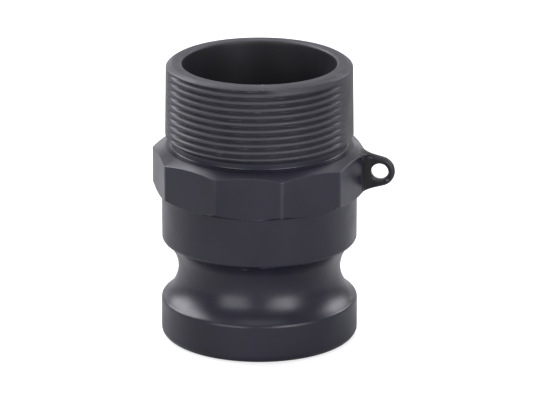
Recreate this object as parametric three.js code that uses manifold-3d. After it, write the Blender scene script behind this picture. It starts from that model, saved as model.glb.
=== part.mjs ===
// A type F camlock adapter for a 2 inch (DN 50) line: the male half of a camlock coupling.
//
// The real adapter is one moulding in glass-filled polypropylene. Here each of its sections is
// a solid of its own: the nose ring, the neck of the cam groove, the shoulder band, the
// ten-sided wrench collar with its lanyard lug, and the spigot with its tapered pipe thread.
// The rings stack face to face, and they share one bore.
//
// Millimetres. +Z runs up the bore's axis from the nose to the thread, and +X points at the lug.
// Heights are measured from the nose's end face; the finished group is then lowered, so that
// the origin lies on the axis at the adapter's centre of mass.

import * as THREE from 'three';
import { mergeVertices } from 'three/addons/utils/BufferGeometryUtils.js';
import Module from 'manifold-3d';

const wasm = await Module();
wasm.setup();

// Overall
const OVERALL_HEIGHT = 90.4;
const ORIGIN_HEIGHT = 42.3;

// Nose and shoulder, the two cylinders on either side of the cam groove
const NOSE_RADIUS = 31.5;
const NOSE_TIP_ROUND = 2.2;
const SHOULDER_RADIUS = 31.24;
const GROOVE_EDGE_ROUND = 0.8;

// Cam groove: one round hollow that runs right round the adapter
const GROOVE_MIDDLE = 22.5;
const GROOVE_FLOOR_RADIUS = 26.04;
const GROOVE_ROUND = 11.95;
const GROOVE_EDGE_TURN = 55; // degrees that an edge's rounding turns before the hollow begins
const NECK_HALF_HEIGHT = 4.9; // the part of the hollow that the cams press on

// Wrench collar
const COLLAR_SIDES = 10;
const COLLAR_ACROSS_FLATS = 65.56;
const COLLAR_BOTTOM = 48.2;
const COLLAR_TOP = 63.2;
const TOP_CHAMFER_RADIUS = 30; // where the top face begins to slope down to the flats
const TOP_CHAMFER_SLOPE = 27; // degrees
const BOTTOM_CHAMFER_RADIUS = 32.93; // outside the flats' middles, so that it only cuts the corners
const BOTTOM_CHAMFER_SLOPE = 36; // degrees

// Lanyard lug, a plate that stands out from one corner of the collar and flares into its flats
const LUG_THICKNESS = 3.2;
const LUG_HOLE_RADIUS = 2.75;
const LUG_END_RADIUS = 4.8;
const LUG_HOLE_REACH = 38.6;
const LUG_HOLE_HEIGHT = 55.4;
const LUG_TAPER = 15; // degrees by which its upper and lower edges close in
const LUG_FLARE_ROUND = 4.2;
const LUG_GAP = 0.3;

// Male pipe thread R 2: 11 threads to the inch, taper 1 in 16 on the diameter, 55 degree flanks.
// Its crests are broad and its grooves shallow, as a moulded thread's are.
const THREAD_PITCH = 25.4 / 11;
const THREAD_END_RADIUS = 29.31;
const THREAD_TAPER = 1 / 32;
const THREAD_FLANK_ANGLE = 27.5; // degrees from square to the axis
const THREAD_CREST_WIDTH = 0.65;
const THREAD_DEPTH = 1.2;
const THREAD_CREST_HEIGHT = 67.46; // the middle of one crest, in the lug's direction
const THREAD_BOTTOM = 65.2;
const THREAD_RUN_OUT = 1.2;
const THREAD_LEAD_IN = 1.2;
const RELIEF_RADIUS = 28;

// Smooth strips down both sides of the thread, in line with the lug, where the mould parts
const STRIP_WIDTH = 20;
const STRIP_END_RADIUS = 29.7;
const STRIP_BOTTOM_RADIUS = 30.1;

// Bore: a straight nose end, a cone, and a wider thread end
const NOSE_BORE_RADIUS = 22.5;
const THREAD_BORE_RADIUS = 24.6;
const BORE_CONE_BOTTOM = 36;
const BORE_EDGE_CHAMFER = 0.6;

// Fineness of the round surfaces
const RING_STEPS = 60;
const SCREW_STEPS = 40;
const ROUNDING_STEPS = 4;
const GROOVE_STEPS = 5;
const LUG_STEPS = 8;

const radians = THREE.MathUtils.degToRad;
const collarFlatRadius = COLLAR_ACROSS_FLATS / 2;
const collarCornerRadius = collarFlatRadius / Math.cos(Math.PI / COLLAR_SIDES);
const grooveCentreRadius = GROOVE_FLOOR_RADIUS + GROOVE_ROUND;
const edgeDrop = GROOVE_EDGE_ROUND * (1 - Math.cos(radians(GROOVE_EDGE_TURN)));
const edgeRise = GROOVE_EDGE_ROUND * Math.sin(radians(GROOVE_EDGE_TURN));

/** Height above or below the groove's middle at which its hollow is this far from the axis. */
function grooveReach(radius) {
  return Math.sqrt(GROOVE_ROUND ** 2 - (grooveCentreRadius - radius) ** 2);
}

/** Radius of the bore at a height. */
function boreRadius(height) {
  const rise = (height - BORE_CONE_BOTTOM) / (COLLAR_TOP - BORE_CONE_BOTTOM);
  return THREE.MathUtils.lerp(NOSE_BORE_RADIUS, THREAD_BORE_RADIUS, THREE.MathUtils.clamp(rise, 0, 1));
}

/** Radius of the thread's crests at a height. */
function crestRadius(height) {
  return THREAD_END_RADIUS + THREAD_TAPER * (OVERALL_HEIGHT - height);
}

/** Points (radius, height) of an arc between two angles, in degrees from the outward direction. */
function arcPoints(centreRadius, centreHeight, radius, fromAngle, toAngle, steps) {
  const points = [];
  for (let step = 0; step <= steps; step += 1) {
    const angle = radians(THREE.MathUtils.lerp(fromAngle, toAngle, step / steps));
    const across = centreRadius + radius * Math.cos(angle);
    const up = centreHeight + radius * Math.sin(angle);
    points.push(new THREE.Vector2(across, up));
  }
  return points;
}

/** The groove's hollow between two heights, going up. */
function groovePoints(fromHeight, toHeight) {
  const angleAt = (height) => {
    const rise = (height - GROOVE_MIDDLE) / GROOVE_ROUND;
    return 180 - THREE.MathUtils.radToDeg(Math.asin(rise));
  };
  return arcPoints(grooveCentreRadius, GROOVE_MIDDLE, GROOVE_ROUND, angleAt(fromHeight), angleAt(toHeight),
    GROOVE_STEPS);
}

/** A ring turned about Z from an outline that goes up its outside and down its bore. */
function ring(outline) {
  const closed = [...outline, outline[0]];
  return new THREE.LatheGeometry(closed, RING_STEPS).rotateX(Math.PI / 2);
}

function point(radius, height) {
  return new THREE.Vector2(radius, height);
}

/** A closed geometry as a manifold solid. */
function solidFrom(geometry) {
  const bare = geometry.clone();
  bare.deleteAttribute('normal');
  bare.deleteAttribute('uv');
  const merged = mergeVertices(bare, 1e-4);
  return new wasm.Manifold(new wasm.Mesh({
    numProp: 3,
    vertProperties: new Float32Array(merged.attributes.position.array),
    triVerts: new Uint32Array(merged.index.array),
  }));
}

function geometryFrom(solid) {
  const mesh = solid.getMesh();
  const geometry = new THREE.BufferGeometry();
  geometry.setAttribute('position', new THREE.BufferAttribute(mesh.vertProperties, 3));
  geometry.setIndex(new THREE.BufferAttribute(mesh.triVerts, 1));
  return geometry;
}

const neckBottom = GROOVE_MIDDLE - NECK_HALF_HEIGHT;
const neckTop = GROOVE_MIDDLE + NECK_HALF_HEIGHT;

/** The nose that enters the coupler and seals on its gasket, with the groove's lower flank. */
function noseRing() {
  const edgeRadius = NOSE_RADIUS - edgeDrop;
  const edgeHeight = GROOVE_MIDDLE - grooveReach(edgeRadius);
  return ring([
    point(NOSE_BORE_RADIUS + BORE_EDGE_CHAMFER, 0),
    ...arcPoints(NOSE_RADIUS - NOSE_TIP_ROUND, NOSE_TIP_ROUND, NOSE_TIP_ROUND, -90, 0, ROUNDING_STEPS),
    ...arcPoints(NOSE_RADIUS - GROOVE_EDGE_ROUND, edgeHeight - edgeRise, GROOVE_EDGE_ROUND,
      0, GROOVE_EDGE_TURN, ROUNDING_STEPS),
    ...groovePoints(edgeHeight, neckBottom).slice(1),
    point(boreRadius(neckBottom), neckBottom),
    point(NOSE_BORE_RADIUS, BORE_EDGE_CHAMFER),
  ]);
}

/** The waist of the groove, which the coupler's two cams press on. */
function camGrooveNeck() {
  return ring([
    ...groovePoints(neckBottom, neckTop),
    point(boreRadius(neckTop), neckTop),
    point(boreRadius(neckBottom), neckBottom),
  ]);
}

/** The plain band between the groove and the collar, with the groove's upper flank. */
function shoulderBand() {
  const edgeRadius = SHOULDER_RADIUS - edgeDrop;
  const edgeHeight = GROOVE_MIDDLE + grooveReach(edgeRadius);
  return ring([
    ...groovePoints(neckTop, edgeHeight),
    ...arcPoints(SHOULDER_RADIUS - GROOVE_EDGE_ROUND, edgeHeight + edgeRise, GROOVE_EDGE_ROUND,
      -GROOVE_EDGE_TURN, 0, ROUNDING_STEPS).slice(1),
    point(SHOULDER_RADIUS, COLLAR_BOTTOM),
    point(boreRadius(COLLAR_BOTTOM), COLLAR_BOTTOM),
    point(boreRadius(BORE_CONE_BOTTOM), BORE_CONE_BOTTOM),
    point(boreRadius(neckTop), neckTop),
  ]);
}

/** Ten flats for a strap or pipe wrench, cut from a ring with a sloping top and a chamfered foot. */
function wrenchCollar() {
  const outline = new THREE.Shape();
  for (let corner = 0; corner < COLLAR_SIDES; corner += 1) {
    const angle = (corner / COLLAR_SIDES) * 2 * Math.PI;
    const move = corner === 0 ? 'moveTo' : 'lineTo';
    outline[move](collarCornerRadius * Math.cos(angle), collarCornerRadius * Math.sin(angle));
  }
  const spare = 1;
  const depth = COLLAR_TOP - COLLAR_BOTTOM + 2 * spare;
  const prism = new THREE.ExtrudeGeometry(outline, { depth, bevelEnabled: false });
  prism.translate(0, 0, COLLAR_BOTTOM - spare);

  const chamferEnd = collarCornerRadius + spare;
  const topDrop = (chamferEnd - TOP_CHAMFER_RADIUS) * Math.tan(radians(TOP_CHAMFER_SLOPE));
  const bottomRise = (chamferEnd - BOTTOM_CHAMFER_RADIUS) * Math.tan(radians(BOTTOM_CHAMFER_SLOPE));
  const chamfered = ring([
    point(boreRadius(COLLAR_BOTTOM), COLLAR_BOTTOM),
    point(BOTTOM_CHAMFER_RADIUS, COLLAR_BOTTOM),
    point(chamferEnd, COLLAR_BOTTOM + bottomRise),
    point(chamferEnd, COLLAR_TOP - topDrop),
    point(TOP_CHAMFER_RADIUS, COLLAR_TOP),
    point(boreRadius(COLLAR_TOP), COLLAR_TOP),
  ]);
  return geometryFrom(solidFrom(chamfered).intersect(solidFrom(prism)));
}

/** A shape as a solid slab between two levels on Z. */
function slab(shape, bottom, top) {
  const options = { depth: top - bottom, bevelEnabled: false, curveSegments: LUG_STEPS };
  return new THREE.ExtrudeGeometry(shape, options).translate(0, 0, bottom);
}

/** The lug seen from its flat side, with height along Y: two straight edges, a round end, a hole. */
function lugSideView() {
  const sweep = radians(90 - LUG_TAPER);
  const slope = Math.tan(radians(LUG_TAPER));
  const rootReach = collarFlatRadius - 1;
  const tangentReach = LUG_HOLE_REACH + LUG_END_RADIUS * Math.cos(sweep);
  const rootRise = LUG_END_RADIUS * Math.sin(sweep) + (tangentReach - rootReach) * slope;
  const outline = new THREE.Shape();
  outline.moveTo(rootReach, LUG_HOLE_HEIGHT + rootRise);
  outline.lineTo(rootReach, LUG_HOLE_HEIGHT - rootRise);
  outline.absarc(LUG_HOLE_REACH, LUG_HOLE_HEIGHT, LUG_END_RADIUS, -sweep, sweep, false);
  const hole = new THREE.Path();
  hole.absarc(LUG_HOLE_REACH, LUG_HOLE_HEIGHT, LUG_HOLE_RADIUS, 0, 2 * Math.PI, true);
  outline.holes.push(hole);
  return outline;
}

/** The lug seen from above: its root follows the corner, and a round flare joins each flat. */
function lugTopView() {
  const half = LUG_THICKNESS / 2;
  const flatTurn = Math.PI / COLLAR_SIDES; // angle between the lug and the flats beside it
  const notchReach = collarCornerRadius + LUG_GAP / Math.cos(flatTurn);
  const centreWidth = half + LUG_FLARE_ROUND;
  const rootWidth = centreWidth - LUG_FLARE_ROUND * Math.sin(flatTurn);
  const rootReach = notchReach - rootWidth * Math.tan(flatTurn);
  const centreReach = rootReach + LUG_FLARE_ROUND * Math.cos(flatTurn);
  const endReach = LUG_HOLE_REACH + LUG_END_RADIUS + 1;
  const rootAngle = Math.PI - flatTurn;
  const outline = new THREE.Shape();
  outline.moveTo(notchReach, 0);
  outline.lineTo(rootReach, -rootWidth);
  outline.absarc(centreReach, -centreWidth, LUG_FLARE_ROUND, rootAngle, Math.PI / 2, true);
  outline.lineTo(endReach, -half);
  outline.lineTo(endReach, half);
  outline.absarc(centreReach, centreWidth, LUG_FLARE_ROUND, -Math.PI / 2, -rootAngle, true);
  return outline;
}

/** The plate that a dust plug's cord or chain ties to. */
function lanyardLug() {
  const width = LUG_THICKNESS + 2 * LUG_FLARE_ROUND;
  const sideSlab = slab(lugSideView(), -width, width).rotateX(Math.PI / 2);
  const topSlab = slab(lugTopView(), COLLAR_BOTTOM, COLLAR_TOP);
  return geometryFrom(solidFrom(sideSlab).intersect(solidFrom(topSlab)));
}

/**
 * A solid right-hand screw, longer than the spigot that is cut from it.
 * Its outline has a flat crest and a flat root in every pitch, and rises are in pitches. Going
 * once round the axis brings each row of the outline to the row one pitch above it, so the
 * flanks are one long helix.
 */
function screw() {
  const crest = THREAD_CREST_WIDTH / THREAD_PITCH;
  const flank = (THREAD_DEPTH * Math.tan(radians(THREAD_FLANK_ANGLE))) / THREAD_PITCH;
  const outline = [
    { rise: 0, depth: 0 },
    { rise: crest, depth: 0 },
    { rise: crest + flank, depth: THREAD_DEPTH },
    { rise: 1 - flank, depth: THREAD_DEPTH },
  ];
  const bottom = THREAD_CREST_HEIGHT - (4 + crest / 2) * THREAD_PITCH;
  const turns = Math.ceil((OVERALL_HEIGHT - bottom) / THREAD_PITCH) + 1;
  const lastStep = turns * SCREW_STEPS;
  const lastRow = outline.length - 1;
  const positions = [];
  for (let step = 0; step <= lastStep; step += 1) {
    const angle = (step / SCREW_STEPS) * 2 * Math.PI;
    for (const { rise, depth } of outline) {
      const height = bottom + (step / SCREW_STEPS + rise) * THREAD_PITCH;
      const radius = crestRadius(height) - depth;
      positions.push(radius * Math.cos(angle), radius * Math.sin(angle), height);
    }
  }

  // A row past the outline's last is the first row of the next turn.
  const vertex = (step, row) => (row > lastRow
    ? (step + SCREW_STEPS) * outline.length
    : step * outline.length + row);
  const triangles = [];
  for (let step = 0; step < lastStep; step += 1) {
    const inLastTurn = step >= lastStep - SCREW_STEPS;
    const rows = inLastTurn ? lastRow : outline.length;
    for (let row = 0; row < rows; row += 1) {
      const [low, lowNext] = [vertex(step, row), vertex(step + 1, row)];
      const [high, highNext] = [vertex(step, row + 1), vertex(step + 1, row + 1)];
      triangles.push(low, lowNext, highNext, low, highNext, high);
    }
  }

  // Each end is a fan of triangles round a point on the axis.
  const closeEnd = (height, edge) => {
    const centre = positions.length / 3;
    positions.push(0, 0, height);
    edge.forEach((from, index) => triangles.push(centre, edge[(index + 1) % edge.length], from));
  };
  const bottomEdge = [];
  const topEdge = [];
  for (let step = 0; step <= SCREW_STEPS; step += 1) {
    bottomEdge.push(vertex(step, 0));
    topEdge.unshift(vertex(lastStep - SCREW_STEPS + step, lastRow));
  }
  for (let row = lastRow; row > 0; row -= 1) {
    bottomEdge.push(vertex(0, row));
  }
  for (let row = 0; row < lastRow; row += 1) {
    topEdge.push(vertex(lastStep, row));
  }
  closeEnd(bottom - THREAD_PITCH, bottomEdge);
  closeEnd(bottom + (turns + 2) * THREAD_PITCH, topEdge);

  const geometry = new THREE.BufferGeometry();
  geometry.setAttribute('position', new THREE.Float32BufferAttribute(positions, 3));
  geometry.setIndex(triangles);
  return geometry;
}

/** The two smooth strips that interrupt the thread, as one bar across the spigot with round ends. */
function partingStrips() {
  const height = OVERALL_HEIGHT - THREAD_BOTTOM;
  const bar = new THREE.BoxGeometry(2 * NOSE_RADIUS, STRIP_WIDTH, height);
  const cone = new THREE.CylinderGeometry(STRIP_END_RADIUS, STRIP_BOTTOM_RADIUS, height, RING_STEPS);
  const middle = THREAD_BOTTOM + height / 2;
  bar.translate(0, 0, middle);
  cone.rotateX(Math.PI / 2).translate(0, 0, middle);
  return solidFrom(cone).intersect(solidFrom(bar));
}

/** The spigot: a relief neck above the collar, then the tapered thread up to the mouth. */
function threadedSpigot() {
  const spare = 0.4; // keeps the envelope clear of the crests that it doesn't cut
  const runOutTop = THREAD_BOTTOM + THREAD_RUN_OUT;
  const leadInBottom = OVERALL_HEIGHT - THREAD_LEAD_IN;
  const envelope = ring([
    point(THREAD_BORE_RADIUS, COLLAR_TOP),
    point(RELIEF_RADIUS, COLLAR_TOP),
    point(RELIEF_RADIUS, THREAD_BOTTOM),
    point(crestRadius(runOutTop) + spare, runOutTop),
    point(crestRadius(leadInBottom) + spare, leadInBottom - spare),
    point(crestRadius(OVERALL_HEIGHT) - THREAD_LEAD_IN, OVERALL_HEIGHT),
    point(THREAD_BORE_RADIUS + BORE_EDGE_CHAMFER, OVERALL_HEIGHT),
    point(THREAD_BORE_RADIUS, OVERALL_HEIGHT - BORE_EDGE_CHAMFER),
  ]);
  const threadForm = solidFrom(screw()).add(partingStrips());
  return geometryFrom(solidFrom(envelope).intersect(threadForm));
}

/** Dark grey satin plastic, a little rougher where the mould is textured. */
function plastic(color, roughness) {
  return new THREE.MeshStandardMaterial({ color, roughness, metalness: 0 });
}

function piece(name, geometry, material) {
  const mesh = new THREE.Mesh(geometry, material);
  mesh.name = name;
  return mesh;
}

const coupling = new THREE.Group();
coupling.add(
  piece('nose_ring', noseRing(), plastic(0x2f3338, 0.42)),
  piece('cam_groove_neck', camGrooveNeck(), plastic(0x2d3136, 0.45)),
  piece('shoulder_band', shoulderBand(), plastic(0x303439, 0.45)),
  piece('wrench_collar', wrenchCollar(), plastic(0x32363b, 0.5)),
  piece('lanyard_lug', lanyardLug(), plastic(0x26292d, 0.5)),
  piece('threaded_spigot', threadedSpigot(), plastic(0x35393f, 0.6)),
);
coupling.position.z = -ORIGIN_HEIGHT;

export default coupling;
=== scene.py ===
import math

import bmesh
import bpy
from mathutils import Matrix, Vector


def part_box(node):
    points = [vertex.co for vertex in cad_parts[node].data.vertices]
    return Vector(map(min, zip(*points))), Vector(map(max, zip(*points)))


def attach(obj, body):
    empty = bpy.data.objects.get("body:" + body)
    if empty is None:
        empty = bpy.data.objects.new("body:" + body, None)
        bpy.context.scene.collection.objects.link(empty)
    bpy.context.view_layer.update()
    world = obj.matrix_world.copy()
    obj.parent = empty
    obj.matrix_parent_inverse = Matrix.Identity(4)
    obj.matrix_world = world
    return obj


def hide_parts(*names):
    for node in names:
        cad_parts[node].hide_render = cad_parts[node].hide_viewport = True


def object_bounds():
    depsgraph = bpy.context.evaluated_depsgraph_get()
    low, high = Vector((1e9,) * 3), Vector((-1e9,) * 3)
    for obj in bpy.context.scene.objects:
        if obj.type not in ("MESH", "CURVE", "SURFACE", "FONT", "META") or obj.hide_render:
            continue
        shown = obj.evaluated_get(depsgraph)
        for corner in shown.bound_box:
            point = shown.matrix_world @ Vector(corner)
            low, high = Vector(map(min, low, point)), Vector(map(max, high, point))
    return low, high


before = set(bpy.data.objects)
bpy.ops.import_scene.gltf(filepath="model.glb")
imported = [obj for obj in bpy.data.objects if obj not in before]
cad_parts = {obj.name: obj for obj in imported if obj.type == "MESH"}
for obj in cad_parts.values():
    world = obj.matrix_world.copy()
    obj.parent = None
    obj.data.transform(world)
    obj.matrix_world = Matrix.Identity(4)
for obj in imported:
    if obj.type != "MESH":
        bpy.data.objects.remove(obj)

# The looks of a 2 inch type F camlock adapter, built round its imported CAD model.
#
# The real adapter is one moulding in dark grey, glass-filled polypropylene. Each CAD section of it
# gets a finer skin here, in the same place: round surfaces with many more sides, rounded edges, a
# full round-crested thread, and a lug that runs into its collar. Outlines are in millimetres, and
# their heights are measured from the nose's end face; meshes are made in metres.

cad_low, cad_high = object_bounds()

MM = 0.001


def extent(node):
    """A CAD node's lowest and highest corners, in millimetres."""
    low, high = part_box(node)
    return low / MM, high / MM


nose_low, nose_high = extent("nose_ring")
neck_low, neck_high = extent("cam_groove_neck")
band_low, band_high = extent("shoulder_band")
collar_low, collar_high = extent("wrench_collar")
spigot_low, spigot_high = extent("threaded_spigot")
lug_low, lug_high = extent("lanyard_lug")

# Heights above the nose's end face, where each section meets the next
FOOT = nose_low.z
NECK_BOTTOM = neck_low.z - FOOT
NECK_TOP = neck_high.z - FOOT
COLLAR_BOTTOM = collar_low.z - FOOT
COLLAR_TOP = collar_high.z - FOOT
MOUTH = spigot_high.z - FOOT

# Nose, cam groove and shoulder
NOSE_RADIUS = nose_high.x
SHOULDER_RADIUS = band_high.x
NOSE_TIP_ROUND = 2.2
GROOVE_EDGE_ROUND = 1.4
GROOVE_EDGE_TURN = 55
GROOVE_MIDDLE = (NECK_BOTTOM + NECK_TOP) / 2
GROOVE_FLOOR_RADIUS = 26.04
GROOVE_ROUND = 11.95
GROOVE_CENTRE_RADIUS = GROOVE_FLOOR_RADIUS + GROOVE_ROUND

# Bore
NOSE_BORE_RADIUS = 22.5
THREAD_BORE_RADIUS = 24.6
BORE_CONE_BOTTOM = 36
BORE_EDGE_ROUND = 0.5

# Wrench collar
COLLAR_SIDES = 10
FLAT_RADIUS = collar_high.y
CORNER_ROUND = 1.6
TOP_CHAMFER_RADIUS = 30
TOP_CHAMFER_SLOPE = math.tan(math.radians(27))
TOP_CHAMFER_ROUND = 1.2
BOTTOM_CHAMFER_RADIUS = FLAT_RADIUS - 0.3
BOTTOM_CHAMFER_SLOPE = math.tan(math.radians(36))
COLLAR_EDGE_ROUND = 0.3
UNDERSIDE_FILLET = 0.5

# Pipe thread R 2: a 55 degree thread, 11 to the inch, taper 1 in 16, with broad crests
THREAD_PITCH = 25.4 / 11
THREAD_END_RADIUS = 29.31
THREAD_TAPER = 1 / 32
THREAD_FLANK_SLOPE = 1 / math.tan(math.radians(27.5))
THREAD_CREST_WIDTH = 0.9
THREAD_DEPTH = 1.2
THREAD_ROUNDING = 0.6
THREAD_CREST_HEIGHT = 67.46  # the middle of one crest, in the lug's direction
THREAD_START_HEIGHT = 88.87  # the middle of the groove where it begins
THREAD_START_LOSS = 0.7  # the share of the groove's depth that is missing above its start
THREAD_START_FADE = 0.06
THREAD_BOTTOM = 65.2
LEAD_IN_WIDTH = 1.5
LEAD_IN_SLOPE = math.tan(math.radians(30))
LEAD_IN_ROUNDING = 0.9
RUN_OUT_SLOPE = 1.4
RUN_OUT_ROUNDING = 0.7
RELIEF_RADIUS = 28
NECK_FILLET = 0.5
RIM_ROUND = 0.9
MOUTH_EDGE_ROUND = 0.9
MOUTH_DEPTH = 2

# Smooth strips down both sides of the thread, in line with the lug, where the mould parts
STRIP_HALF_WIDTH = 8.5
STRIP_FADE = 10
STRIP_END_RADIUS = 29.7
STRIP_BOTTOM_RADIUS = 30.1

# Lanyard lug
LUG_HALF = 1.6
LUG_ROOT = FLAT_RADIUS - 1.2
LUG_HOLE_RADIUS = 2.75
LUG_END_RADIUS = 4.8
LUG_HOLE_REACH = lug_high.x - LUG_END_RADIUS
LUG_HOLE_HEIGHT = (lug_low.z + lug_high.z) / 2 - FOOT
LUG_TAPER = math.radians(15)
LUG_FLARE_ROUND = 4.2
LUG_EDGE_ROUND = 1.2
LUG_HOLE_ROUND = 0.6

# Angles about the axis, from the lug, in radians: where the mould's halves met, and a nick on the
# rim, each with how far it spreads
PARTING_LINES = (0, math.pi)
PARTING_SPREAD = 0.004
PARTING_RIDGE = 0.05
RIM_NICK = math.radians(-81.5)
RIM_NICK_SPREAD = 0.008
RIM_NICK_HEIGHT = 0.14

# How finely the meshes are divided. The spacings are the angles between extra columns beside the
# parting lines and the nick, in radians.
RING_STEPS = 288
RING_SPACING = 0.0018
SPIGOT_SPACING = 0.003
CORNER_SHARE = 0.06  # of a side's angle, that a corner's columns reach to each way
CORNER_STEPS = 8
FLAT_STEPS = 16
NECK_ROW_GAP = 0.4
BELOW_THREAD = 0.2
THREAD_ROWS = 232
LUG_STEPS = 96
LUG_FACE_STEPS = 10
MERGE_DISTANCE = 0.001
SMALLEST_EDGE = 0.0005


# Outlines ------------------------------------------------------------------------------------


def arc(centre, radius, start, end, steps):
    """Points of an arc in degrees, closer together towards both ends."""
    points = []
    for step in range(steps + 1):
        share = (1 - math.cos(math.pi * step / steps)) / 2
        angle = math.radians(start + (end - start) * share)
        points.append((centre[0] + radius * math.cos(angle), centre[1] + radius * math.sin(angle)))
    return points


def rounded(corners, steps=5):
    """A closed outline from (across, up, rounding) corners, with an arc in place of each corner."""
    points = []
    for index, (x, y, radius) in enumerate(corners):
        here = Vector((x, y))
        to_last = (Vector(corners[index - 1][:2]) - here).normalized()
        to_next = (Vector(corners[(index + 1) % len(corners)][:2]) - here).normalized()
        half_angle = to_last.angle(to_next) / 2
        if radius == 0 or half_angle > math.radians(89.9):
            points.append((x, y))
            continue
        reach = radius / math.tan(half_angle)
        centre = here + (to_last + to_next).normalized() * (radius / math.sin(half_angle))
        first = here + to_last * reach - centre
        turn = first.angle_signed(here + to_next * reach - centre)
        for step in range(steps + 1):
            angle = -turn * step / steps
            spoke = Vector((
                first.x * math.cos(angle) - first.y * math.sin(angle),
                first.x * math.sin(angle) + first.y * math.cos(angle),
            ))
            points.append(tuple(centre + spoke))
    return points


def groove_reach(radius):
    """How far above or below the groove's middle its hollow is this far from the axis."""
    return math.sqrt(GROOVE_ROUND**2 - (GROOVE_CENTRE_RADIUS - radius) ** 2)


def groove_arc(bottom, top, steps):
    """The hollow between two heights, going up."""
    start = 180 - math.degrees(math.asin((bottom - GROOVE_MIDDLE) / GROOVE_ROUND))
    end = 180 - math.degrees(math.asin((top - GROOVE_MIDDLE) / GROOVE_ROUND))
    return arc((GROOVE_CENTRE_RADIUS, GROOVE_MIDDLE), GROOVE_ROUND, start, end, steps)


def bore_radius(height):
    """The bore widens from the nose to the thread along a slow cone."""
    rise = (height - BORE_CONE_BOTTOM) / (COLLAR_TOP - BORE_CONE_BOTTOM)
    return NOSE_BORE_RADIUS + (THREAD_BORE_RADIUS - NOSE_BORE_RADIUS) * min(max(rise, 0), 1)


def bore_wall(top, bottom, steps=8):
    """The bore's wall between two heights, going down."""
    heights = [top + (bottom - top) * step / steps for step in range(steps + 1)]
    return [(bore_radius(height), height) for height in heights]


# Meshes --------------------------------------------------------------------------------------


def skin(name, columns, sharp_angle=40):
    """A closed mesh from columns of points in mm. Every column and every row is a closed loop."""
    mesh = bpy.data.meshes.new(name)
    work = bmesh.new()
    grid = [[work.verts.new((x * MM, y * MM, (z + FOOT) * MM)) for x, y, z in c] for c in columns]
    for index, column in enumerate(grid):
        after = grid[(index + 1) % len(grid)]
        for row in range(len(column)):
            up = (row + 1) % len(column)
            work.faces.new((column[row], after[row], after[up], column[up]))
    bmesh.ops.remove_doubles(work, verts=work.verts, dist=MERGE_DISTANCE * MM)
    bmesh.ops.dissolve_degenerate(work, edges=work.edges, dist=SMALLEST_EDGE * MM)
    bmesh.ops.recalc_face_normals(work, faces=work.faces)
    work.to_mesh(mesh)
    work.free()
    mesh.shade_smooth()
    mesh.set_sharp_from_angle(angle=math.radians(sharp_angle))
    piece = bpy.data.objects.new(name, mesh)
    bpy.context.scene.collection.objects.link(piece)
    return piece


def round_column(outline, angle):
    """An outline of (radius, height) points, stood up at an angle about the axis."""
    return [(r * math.cos(angle), r * math.sin(angle), z) for r, z in outline]


def away_from(line, angle):
    """The angle between two directions, with its sign."""
    return (angle - line + math.pi) % (2 * math.pi) - math.pi


def ring_angles(lines, spacing):
    """Angles round the ring, with extra ones a small spacing apart beside each of some lines."""
    angles = {2 * math.pi * step / RING_STEPS for step in range(RING_STEPS)}
    for line in lines:
        angles.update((line + step * spacing) % (2 * math.pi) for step in range(-4, 5))
    return sorted(angles)


def bulge(line, angle, spread):
    """1 at a line, falling smoothly to 0 on both sides of it."""
    return math.exp(-((away_from(line, angle) / spread) ** 2))


def parting_ridge(angle):
    """The thin ridge that the mould's parting line leaves."""
    return sum(PARTING_RIDGE * bulge(line, angle, PARTING_SPREAD) for line in PARTING_LINES)


def turned(name, outline):
    """A ring with the mould's parting line down its outside."""
    columns = []
    for angle in ring_angles(PARTING_LINES, RING_SPACING):
        ridge = parting_ridge(angle)
        marked = [(r + ridge if r > THREAD_BORE_RADIUS else r, z) for r, z in outline]
        columns.append(round_column(marked, angle))
    return skin(name, columns)


# Sections of the moulding --------------------------------------------------------------------

EDGE_DROP = GROOVE_EDGE_ROUND * (1 - math.cos(math.radians(GROOVE_EDGE_TURN)))
EDGE_RISE = GROOVE_EDGE_ROUND * math.sin(math.radians(GROOVE_EDGE_TURN))


def nose_ring():
    """The nose: a rounded tip, a plain side, and the groove's lower flank."""
    edge = GROOVE_MIDDLE - groove_reach(NOSE_RADIUS - EDGE_DROP)
    tip_centre = (NOSE_RADIUS - NOSE_TIP_ROUND, NOSE_TIP_ROUND)
    edge_centre = (NOSE_RADIUS - GROOVE_EDGE_ROUND, edge - EDGE_RISE)
    mouth_centre = (NOSE_BORE_RADIUS + BORE_EDGE_ROUND, BORE_EDGE_ROUND)
    return turned("nose_ring_skin", [
        *arc(tip_centre, NOSE_TIP_ROUND, -90, 0, 14),
        *arc(edge_centre, GROOVE_EDGE_ROUND, 0, GROOVE_EDGE_TURN, 8),
        *groove_arc(edge, NECK_BOTTOM, 26)[1:],
        *bore_wall(NECK_BOTTOM, BORE_EDGE_ROUND)[:-1],
        *arc(mouth_centre, BORE_EDGE_ROUND, 180, 270, 6),
    ])


def cam_groove_neck():
    """The waist of the groove."""
    return turned("cam_groove_neck_skin", [
        *groove_arc(NECK_BOTTOM, NECK_TOP, 44),
        *bore_wall(NECK_TOP, NECK_BOTTOM, 4),
    ])


def shoulder_band():
    """The groove's upper flank, and the plain band between it and the collar."""
    edge = GROOVE_MIDDLE + groove_reach(SHOULDER_RADIUS - EDGE_DROP)
    edge_centre = (SHOULDER_RADIUS - GROOVE_EDGE_ROUND, edge + EDGE_RISE)
    fillet_centre = (SHOULDER_RADIUS + UNDERSIDE_FILLET, COLLAR_BOTTOM - UNDERSIDE_FILLET)
    return turned("shoulder_band_skin", [
        *groove_arc(NECK_TOP, edge, 26),
        *arc(edge_centre, GROOVE_EDGE_ROUND, -GROOVE_EDGE_TURN, 0, 8)[1:],
        *arc(fillet_centre, UNDERSIDE_FILLET, 180, 90, 5),
        *bore_wall(COLLAR_BOTTOM, BORE_CONE_BOTTOM, 4),
        *bore_wall(BORE_CONE_BOTTOM, NECK_TOP, 4)[1:],
    ])


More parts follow.
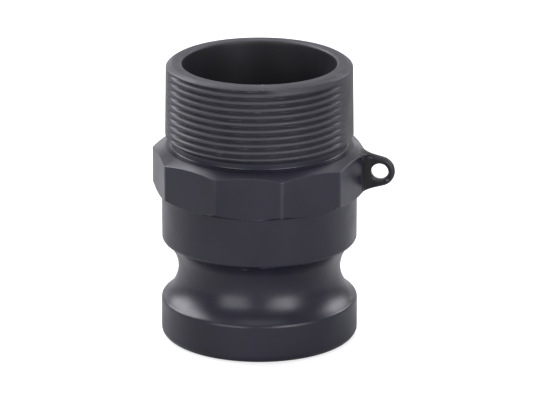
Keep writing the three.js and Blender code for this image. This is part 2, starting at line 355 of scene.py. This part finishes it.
def collar_reach(turn):
    """Distance from the axis to the collar's side, turn being the angle from a corner."""
    half_side = math.pi / COLLAR_SIDES
    turn = abs((turn + half_side) % (2 * half_side) - half_side)
    centre = (FLAT_RADIUS - CORNER_ROUND) / math.cos(half_side)
    last_round = math.atan2(
        CORNER_ROUND * math.sin(half_side), centre + CORNER_ROUND * math.cos(half_side)
    )
    if turn > last_round:
        return FLAT_RADIUS / math.cos(half_side - turn)
    across = centre * math.sin(turn)
    return centre * math.cos(turn) + math.sqrt(CORNER_ROUND**2 - across**2)


def collar_angles():
    """Angles of the collar's columns: close together at each rounded corner, wider over a flat."""
    side = 2 * math.pi / COLLAR_SIDES
    corner = side * CORNER_SHARE
    angles = []
    for index in range(COLLAR_SIDES):
        for step in range(CORNER_STEPS):
            angles.append(index * side - corner + 2 * corner * step / CORNER_STEPS)
        for step in range(FLAT_STEPS):
            share = (1 - math.cos(math.pi * step / FLAT_STEPS)) / 2
            angles.append(index * side + corner + (side - 2 * corner) * share)
    return angles


def wrench_collar():
    """Ten flats with rounded corners, under a sloping top and over small lower chamfers."""
    columns = []
    for angle in collar_angles():
        reach = collar_reach(angle)
        top = COLLAR_TOP - (reach - TOP_CHAMFER_RADIUS) * TOP_CHAMFER_SLOPE
        bottom = COLLAR_BOTTOM + (reach - BOTTOM_CHAMFER_RADIUS) * BOTTOM_CHAMFER_SLOPE
        outline = rounded([
            (bore_radius(COLLAR_BOTTOM), COLLAR_BOTTOM, 0),
            (BOTTOM_CHAMFER_RADIUS, COLLAR_BOTTOM, COLLAR_EDGE_ROUND),
            (reach, bottom, COLLAR_EDGE_ROUND),
            (reach, top, COLLAR_EDGE_ROUND),
            (TOP_CHAMFER_RADIUS, COLLAR_TOP, TOP_CHAMFER_ROUND),
            (bore_radius(COLLAR_TOP), COLLAR_TOP, 0),
        ])
        columns.append(round_column(outline, angle))
    return skin("wrench_collar_skin", columns)


def crest_radius(height):
    """The tapered thread's radius over its crests."""
    return THREAD_END_RADIUS + THREAD_TAPER * (MOUTH - height)


def smooth_step(share):
    """0 below 0 and 1 above 1, with a smooth change between them."""
    share = min(max(share, 0), 1)
    return share * share * (3 - 2 * share)


def soft_least(a, b, blend):
    """The smaller of two numbers, with a rounded change from one to the other."""
    gap = max(blend - abs(a - b), 0) / blend
    return min(a, b) - gap * gap * blend / 4


def thread_depth(pitches):
    """How far below its crest the thread is, at a number of pitches from one."""
    across = abs((pitches + 0.5) % 1 - 0.5) * THREAD_PITCH
    flank = (across - THREAD_CREST_WIDTH / 2) * THREAD_FLANK_SLOPE
    below_crest = -soft_least(0, -flank, THREAD_ROUNDING)
    return soft_least(below_crest, THREAD_DEPTH, THREAD_ROUNDING)


def thread_strength(pitches, angle):
    """1 where the groove is full, less above its start, and 0 on the parting strips."""
    from_lug_plane = abs(math.sin(angle)) * THREAD_END_RADIUS
    beside_strip = smooth_step((from_lug_plane - STRIP_HALF_WIDTH) / STRIP_FADE)
    groove_turn = math.floor(pitches) + 0.5 + angle / (2 * math.pi)
    above_start = THREAD_CREST_HEIGHT + groove_turn * THREAD_PITCH - THREAD_START_HEIGHT
    return beside_strip * (1 - THREAD_START_LOSS * smooth_step(above_start / THREAD_START_FADE))


def spigot_radius(height, angle):
    """The spigot's outside: a relief neck, then the thread, which fades in and out."""
    pitches = (height - THREAD_CREST_HEIGHT) / THREAD_PITCH - angle / (2 * math.pi)
    strength = thread_strength(pitches, angle)
    rise = (height - THREAD_BOTTOM) / (MOUTH - THREAD_BOTTOM)
    strip = STRIP_BOTTOM_RADIUS + (STRIP_END_RADIUS - STRIP_BOTTOM_RADIUS) * rise
    outermost = strip + (crest_radius(height) - strip) * strength
    thread = outermost - thread_depth(pitches) * strength
    run_out = RELIEF_RADIUS + max(height - THREAD_BOTTOM, 0) * RUN_OUT_SLOPE
    lead_in = crest_radius(MOUTH) - LEAD_IN_WIDTH + (MOUTH - height) / LEAD_IN_SLOPE
    return soft_least(soft_least(thread, run_out, RUN_OUT_ROUNDING), lead_in, LEAD_IN_ROUNDING)


def rim_nick(angle):
    """The height of a small raised nick across the rim."""
    return RIM_NICK_HEIGHT * bulge(RIM_NICK, angle, RIM_NICK_SPREAD)


def neck_fillet(height):
    """How far the fillet between the collar and the relief neck stands out from the neck."""
    foot = max(COLLAR_TOP + NECK_FILLET - height, 0)
    return NECK_FILLET - math.sqrt(max(NECK_FILLET**2 - foot**2, 0))


def spigot_heights():
    """Heights of the spigot's rows: up the fillet, along the neck, then along the thread."""
    fillet = [COLLAR_TOP + NECK_FILLET * (1 - math.cos(math.pi * step / 12)) for step in range(6)]
    neck = [COLLAR_TOP + NECK_FILLET + step * NECK_ROW_GAP for step in range(3)]
    first = THREAD_BOTTOM - BELOW_THREAD
    thread = [first + (MOUTH - first) * step / THREAD_ROWS for step in range(THREAD_ROWS + 1)]
    return fillet + neck + thread


def spigot_mouth(edge_radius, top):
    """The rim from the lead-in to the bore, with both edges rounded.

    The outline's first and last points only give the rounded edges their directions.
    """
    return rounded([
        (edge_radius + 1, MOUTH - LEAD_IN_SLOPE, 0),
        (edge_radius, top, RIM_ROUND),
        (THREAD_BORE_RADIUS, top, MOUTH_EDGE_ROUND),
        (THREAD_BORE_RADIUS, MOUTH - MOUTH_DEPTH, 0),
    ])[1:-1]


def threaded_spigot():
    """The relief neck, the pipe thread and the rim, with the bore inside."""
    heights = spigot_heights()
    columns = []
    for angle in ring_angles((*PARTING_LINES, RIM_NICK), SPIGOT_SPACING):
        nick = rim_nick(angle)
        outline = []
        for height in heights:
            radius = spigot_radius(height, angle) + parting_ridge(angle)
            radius += nick * smooth_step(height - THREAD_START_HEIGHT)
            radius += neck_fillet(height)
            outline.append((radius, height))
        edge_radius = outline[-1][0]
        outline = [point for point in outline if point[1] < MOUTH - RIM_ROUND / 2]
        outline += spigot_mouth(edge_radius, MOUTH + nick)
        outline += bore_wall(MOUTH - MOUTH_DEPTH, COLLAR_TOP, 6)
        columns.append(round_column(outline, angle))
    return skin("threaded_spigot_skin", columns)


def lug_reach(angle, inset):
    """From the hole's centre to the lug's outline, moved in by inset except at the root."""
    sweep = math.pi / 2 - LUG_TAPER
    turn = abs((angle + math.pi) % (2 * math.pi) - math.pi)
    reach = LUG_END_RADIUS - inset
    if turn > sweep:
        reach /= math.cos(min(turn - sweep, math.pi / 2 - 0.001))
    if math.cos(angle) < -0.001:
        reach = min(reach, (LUG_ROOT - LUG_HOLE_REACH) / math.cos(angle))
    return reach


def lug_half_thickness(reach):
    """Half the plate's thickness at a distance from the axis, with its flare near the collar."""
    half_side = math.pi / COLLAR_SIDES
    corner = FLAT_RADIUS / math.cos(half_side)
    root_width = LUG_HALF + LUG_FLARE_ROUND * (1 - math.sin(half_side))
    flare_start = corner - root_width * math.tan(half_side) + LUG_FLARE_ROUND * math.cos(half_side)
    into = min(max(flare_start - reach, 0), LUG_FLARE_ROUND * math.cos(half_side))
    return LUG_HALF + LUG_FLARE_ROUND - math.sqrt(LUG_FLARE_ROUND**2 - into**2)


def lug_path(angle):
    """From the plate's rim over one face into its hole, along one spoke of the hole.

    Each point is a distance from the hole's centre and a depth below the face.
    """
    path = []
    for step in range(7):
        turn = math.pi / 2 * step / 6
        inset = LUG_EDGE_ROUND * (1 - math.cos(turn))
        path.append((lug_reach(angle, inset), LUG_EDGE_ROUND * (1 - math.sin(turn))))
    outer = path[-1][0]
    inner = LUG_HOLE_RADIUS + LUG_HOLE_ROUND
    for step in range(1, LUG_FACE_STEPS + 1):
        path.append((outer + (inner - outer) * step / LUG_FACE_STEPS, 0))
    for step in range(1, 6):
        turn = math.pi / 2 * (1 - step / 5)
        hole = LUG_HOLE_RADIUS + LUG_HOLE_ROUND * (1 - math.cos(turn))
        path.append((hole, LUG_HOLE_ROUND * (1 - math.sin(turn))))
    return path


def lug_place(reach, angle):
    """Distance from the axis, and height, of a point round the lug's hole."""
    return LUG_HOLE_REACH + reach * math.cos(angle), LUG_HOLE_HEIGHT + reach * math.sin(angle)


def lanyard_lug():
    """The plate with a hole, flared into the collar, with the parting ridge round its rim."""
    columns = []
    for index in range(LUG_STEPS):
        angle = 2 * math.pi * index / LUG_STEPS
        path = lug_path(angle)
        side = []
        for reach, below_face in path:
            x, z = lug_place(reach, angle)
            side.append((x, lug_half_thickness(x) - below_face, z))
        x, z = lug_place(path[0][0] + PARTING_RIDGE, angle)
        columns.append([(x, 0, z), *side, *((x, -y, z) for x, y, z in reversed(side))])
    return skin("lanyard_lug_skin", columns, sharp_angle=60)


# Materials -----------------------------------------------------------------------------------

SINK_DEPTH = 0.00028  # of the skin's slow waves, in metres
BORE_MARGIN = 0.2
FLOOR_GREY = 0.48
FLOOR_GLOW = 0.62


class Nodes:
    """A short way to add and join shader nodes."""

    def __init__(self, name):
        self.material = bpy.data.materials.new(name)
        self.material.use_nodes = True
        self.tree = self.material.node_tree
        self.shader = self.tree.nodes["Principled BSDF"]
        coordinates = self.tree.nodes.new("ShaderNodeTexCoord")
        self.place = coordinates.outputs["Object"]

    def noise(self, scale, detail, roughness=0.5, stretch=(1, 1, 1)):
        mapping = self.tree.nodes.new("ShaderNodeMapping")
        mapping.inputs["Scale"].default_value = stretch
        self.tree.links.new(self.place, mapping.inputs["Vector"])
        texture = self.tree.nodes.new("ShaderNodeTexNoise")
        texture.inputs["Scale"].default_value = scale
        texture.inputs["Detail"].default_value = detail
        texture.inputs["Roughness"].default_value = roughness
        self.tree.links.new(mapping.outputs["Vector"], texture.inputs["Vector"])
        return texture.outputs["Fac"]

    def remap(self, value, low, high, to_low, to_high):
        node = self.tree.nodes.new("ShaderNodeMapRange")
        node.inputs["From Min"].default_value = low
        node.inputs["From Max"].default_value = high
        node.inputs["To Min"].default_value = to_low
        node.inputs["To Max"].default_value = to_high
        self.tree.links.new(value, node.inputs["Value"])
        return node.outputs["Result"]

    def maths(self, operation, first, second):
        node = self.tree.nodes.new("ShaderNodeMath")
        node.operation = operation
        for socket, value in zip(node.inputs, (first, second)):
            if isinstance(value, (int, float)):
                socket.default_value = value
            else:
                self.tree.links.new(value, socket)
        return node.outputs["Value"]

    def mix(self, share, first, second):
        """Mixes two colours. The node's colour sockets share their names, so they go by number."""
        node = self.tree.nodes.new("ShaderNodeMix")
        node.data_type = "RGBA"
        self.tree.links.new(share, node.inputs["Factor"])
        for socket, value in ((node.inputs[6], first), (node.inputs[7], second)):
            if isinstance(value, tuple):
                socket.default_value = (*value, 1)
            else:
                self.tree.links.new(value, socket)
        return node.outputs[2]

    def bump(self, height, distance, normal=None):
        node = self.tree.nodes.new("ShaderNodeBump")
        node.inputs["Strength"].default_value = 1
        node.inputs["Distance"].default_value = distance
        self.tree.links.new(height, node.inputs["Height"])
        if normal is not None:
            self.tree.links.new(normal, node.inputs["Normal"])
        return node.outputs["Normal"]

    def edge(self):
        """0 on even surfaces, whose pointiness is 0.5, and 1 along edges that stand out."""
        geometry = self.tree.nodes.new("ShaderNodeNewGeometry")
        return self.remap(geometry.outputs["Pointiness"], 0.51, 0.58, 0, 1)


def moulded_plastic(name, dark, light, worn_and_highlight, smooth, rough, grain, specular):
    """Glass-filled polypropylene: faint flow marks, paler specks of fibre and paler edges, partly
    from rubbing and partly a painted highlight.

    The colour runs from dark to light and turns paler on edges that stand out, from rubbing and as
    a painted highlight along corners, crests and rims. The roughness runs from smooth to rough in
    patches. The grain is the depth of the skin's fine texture, in metres.
    """
    nodes = Nodes(name)
    flow = nodes.noise(scale=55, detail=3, roughness=0.55, stretch=(1, 1, 0.6))
    fibres = nodes.noise(scale=1400, detail=2, roughness=0.6, stretch=(1, 1, 0.35))
    colour = nodes.mix(nodes.remap(flow, 0.3, 0.7, 0, 1), dark, light)
    specks = nodes.remap(fibres, 0.62, 0.8, 0, 0.5)
    colour = nodes.mix(specks, colour, light)
    # Edges that stand out turn paler: partly rubbing, partly a painted highlight along corners,
    # crests and rims.
    wear_and_highlight = nodes.maths("MULTIPLY", nodes.edge(), nodes.remap(flow, 0.25, 0.75, 0.3, 1))
    colour = nodes.mix(wear_and_highlight, colour, worn_and_highlight)
    nodes.tree.links.new(colour, nodes.shader.inputs["Base Color"])
    patches = nodes.remap(nodes.noise(scale=90, detail=3, roughness=0.6), 0.3, 0.7, smooth, rough)
    roughness = nodes.maths("ADD", patches, nodes.maths("MULTIPLY", wear_and_highlight, 0.08))
    nodes.tree.links.new(roughness, nodes.shader.inputs["Roughness"])
    sink = nodes.bump(nodes.noise(scale=70, detail=1), SINK_DEPTH)
    skin_grain = nodes.bump(nodes.noise(scale=2600, detail=2), grain, sink)
    nodes.tree.links.new(skin_grain, nodes.shader.inputs["Normal"])
    nodes.shader.inputs["Specular IOR Level"].default_value = specular
    return nodes.material


def satin_plastic():
    """The smooth outside of the nose, groove, band and collar, and the relief neck, where its
    darker tone than the thread's is painted shade.
    """
    return moulded_plastic(
        "satin_polypropylene",
        dark=(0.0062, 0.0058, 0.0124),
        light=(0.011, 0.0104, 0.0202),
        worn_and_highlight=(0.085, 0.085, 0.095),
        smooth=0.28,
        rough=0.38,
        grain=0.000012,
        specular=0.43,
    )


def rubbed_plastic():
    """The thread and its rim, which are paler and rougher than the rest."""
    return moulded_plastic(
        "rubbed_polypropylene",
        dark=(0.020, 0.0197, 0.0255),
        light=(0.032, 0.0315, 0.0395),
        worn_and_highlight=(0.07, 0.07, 0.08),
        smooth=0.42,
        rough=0.56,
        grain=0.00002,
        specular=0.43,
    )


def bore_shade_plastic():
    """The wall of the bore, in a darker tone than the thread's plastic: painted shade inside the
    hollow.
    """
    return moulded_plastic(
        "bore_painted_shade_polypropylene",
        # A darker tone than the thread's plastic: painted shade inside the bore.
        dark=(0.0095, 0.0092, 0.0118),
        light=(0.014, 0.0136, 0.017),
        worn_and_highlight=(0.04, 0.04, 0.045),
        smooth=0.42,
        rough=0.54,
        grain=0.000016,
        specular=0.43,
    )


def lug_shade_and_highlight_plastic():
    """The lug, coloured darkest as a painted shade for its corner against the collar, with the
    palest edges as a painted highlight round its rim and hole.
    """
    return moulded_plastic(
        "lug_painted_shade_and_highlight_polypropylene",
        # Near-black body: painted shade for the lug, which sits in the corner against the collar.
        dark=(0.003, 0.003, 0.0042),
        light=(0.006, 0.006, 0.008),
        # Palest edges: a painted highlight round the lug's rim and hole.
        worn_and_highlight=(0.11, 0.11, 0.12),
        smooth=0.3,
        rough=0.42,
        grain=0.000016,
        specular=0.25,
    )


def in_bore(radius, _height):
    """Whether a face is on the bore's wall, whatever its height."""
    return radius < THREAD_BORE_RADIUS + BORE_MARGIN


def on_relief_neck(radius, height):
    """Whether a face of the spigot is on the plain neck below its thread, which is given the darker
    satin plastic as painted shade under the thread.
    """
    return height < THREAD_BOTTOM and not in_bore(radius, height)


def repaint(piece, material, chosen):
    """Gives the faces that are chosen by radius and height a material of their own."""
    piece.data.materials.append(material)
    slot = len(piece.data.materials) - 1
    for face in piece.data.polygons:
        radius = math.hypot(face.center.x, face.center.y) / MM
        if chosen(radius, face.center.z / MM - FOOT):
            face.material_index = slot


def floor_material():
    """A mid grey that the camera sees as a pale, evenly lit floor."""
    nodes = Nodes("pale_floor")
    nodes.shader.inputs["Base Color"].default_value = (FLOOR_GREY, FLOOR_GREY, FLOOR_GREY, 1)
    nodes.shader.inputs["Roughness"].default_value = 0.9
    nodes.shader.inputs["Specular IOR Level"].default_value = 0.1
    nodes.shader.inputs["Emission Color"].default_value = (1, 1, 1, 1)
    path = nodes.tree.nodes.new("ShaderNodeLightPath")
    glow = nodes.maths("MULTIPLY", path.outputs["Is Camera Ray"], FLOOR_GLOW)
    nodes.tree.links.new(glow, nodes.shader.inputs["Emission Strength"])
    return nodes.material


# Studio --------------------------------------------------------------------------------------

VIEW_AZIMUTH = math.radians(6.3)
VIEW_ELEVATION = math.radians(18.37)
VIEW_DISTANCE = 1.299
LENS = 270.5
SHIFT_ACROSS = 0.0196
SHIFT_UP = -0.0054

FLOOR_HALF = 4.0
FLOOR_GAP = 0.05  # millimetres below the nose's end face, so that the two never share a plane

BACKDROP_SEEN = 1.0
BACKDROP_LIGHTING = 0.35
SOFTBOX_COLOUR = (0.95, 0.94, 1)
# Name; azimuth from the camera's direction and elevation, in degrees; distance, width and height,
# in metres; radiance
SOFTBOXES = (
    ("softbox_left", -119, 35, 0.9, 0.48, 0.64, 8.2),
    ("softbox_right", 120, 28, 0.9, 0.4, 0.35, 7),
    ("softbox_low_left", -163, 10, 0.9, 0.45, 0.24, 1.4),
    ("softbox_low_right", 163, 10, 0.9, 0.45, 0.24, 1.1),
    ("softbox_front_left", -34, 15, 1.0, 0.6, 0.6, 4.0),
    ("softbox_front_right", 34, 18, 1.0, 0.54, 0.6, 6.7),
    ("softbox_back", 180, 60, 0.9, 0.9, 0.5, 2.6),
    ("softbox_top", 0, 86, 1.0, 0.6, 0.5, 2.3),
)


def towards(azimuth, elevation):
    """The direction from the object, azimuth 0 being the front and rising to the right."""
    return Vector((
        math.sin(azimuth) * math.cos(elevation),
        -math.cos(azimuth) * math.cos(elevation),
        math.sin(elevation),
    ))


def add_camera():
    """The camera at the photograph's viewing angle, aimed at the middle of the adapter's height."""
    data = bpy.data.cameras.new("photo_camera")
    data.lens = LENS
    data.shift_x = SHIFT_ACROSS
    data.shift_y = SHIFT_UP
    camera = bpy.data.objects.new("photo_camera", data)
    direction = towards(VIEW_AZIMUTH, VIEW_ELEVATION)
    middle = Vector((0, 0, (cad_low.z + cad_high.z) / 2))
    camera.location = middle + direction * VIEW_DISTANCE
    camera.rotation_euler = (-direction).to_track_quat("-Z", "Y").to_euler()
    bpy.context.scene.collection.objects.link(camera)
    bpy.context.scene.camera = camera


def add_softbox(name, azimuth, elevation, distance, width, height, radiance):
    """A rectangular light facing the object, its azimuth measured from the camera's direction."""
    data = bpy.data.lights.new(name, "AREA")
    data.shape = "RECTANGLE"
    data.size = width
    data.size_y = height
    data.energy = radiance * math.pi * width * height
    data.color = SOFTBOX_COLOUR
    light = bpy.data.objects.new(name, data)
    direction = towards(VIEW_AZIMUTH + math.radians(azimuth), math.radians(elevation))
    light.location = direction * distance
    light.rotation_euler = (-direction).to_track_quat("-Z", "Y").to_euler()
    bpy.context.scene.collection.objects.link(light)


def add_world(seen, lighting):
    """A white backdrop, with a dimmer glow from all round for the object and floor."""
    world = bpy.data.worlds.new("studio")
    world.use_nodes = True
    tree = world.node_tree
    background = tree.nodes["Background"]
    background.inputs["Color"].default_value = (1, 1, 1, 1)
    path = tree.nodes.new("ShaderNodeLightPath")
    strength = tree.nodes.new("ShaderNodeMapRange")
    strength.inputs["To Min"].default_value = lighting
    strength.inputs["To Max"].default_value = seen
    tree.links.new(path.outputs["Is Camera Ray"], strength.inputs["Value"])
    tree.links.new(strength.outputs["Result"], background.inputs["Strength"])
    bpy.context.scene.world = world


def add_floor():
    """A wide, pale floor under the nose."""
    mesh = bpy.data.meshes.new("floor")
    level = cad_low.z - FLOOR_GAP * MM
    signs = ((-1, -1), (1, -1), (1, 1), (-1, 1))
    corners = [(x * FLOOR_HALF, y * FLOOR_HALF, level) for x, y in signs]
    mesh.from_pydata(corners, [], [(0, 1, 2, 3)])
    mesh.materials.append(floor_material())
    floor = bpy.data.objects.new("floor", mesh)
    bpy.context.scene.collection.objects.link(floor)


# The scene -----------------------------------------------------------------------------------

add_camera()
add_floor()
add_world(BACKDROP_SEEN, BACKDROP_LIGHTING)
for softbox in SOFTBOXES:
    add_softbox(*softbox)
bpy.context.scene.view_settings.view_transform = "Standard"

SATIN = satin_plastic()
RUBBED = rubbed_plastic()
BORE_SHADE = bore_shade_plastic()
LUG_SHADE_AND_HIGHLIGHT = lug_shade_and_highlight_plastic()

PIECES = (
    ("nose_ring", nose_ring, SATIN),
    ("cam_groove_neck", cam_groove_neck, SATIN),
    ("shoulder_band", shoulder_band, SATIN),
    ("wrench_collar", wrench_collar, SATIN),
    ("lanyard_lug", lanyard_lug, LUG_SHADE_AND_HIGHLIGHT),
    ("threaded_spigot", threaded_spigot, RUBBED),
)
for node, make, material in PIECES:
    piece = make()
    piece.data.materials.append(material)
    if node != "lanyard_lug":
        # The bore's wall takes its own darker plastic: painted shade inside the hollow.
        repaint(piece, BORE_SHADE, in_bore)
    if node == "threaded_spigot":
        # The relief neck gets the darker satin plastic in place of the thread's: painted shade
        # under the overhanging thread.
        repaint(piece, SATIN, on_relief_neck)
    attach(piece, "root")
    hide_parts(node)
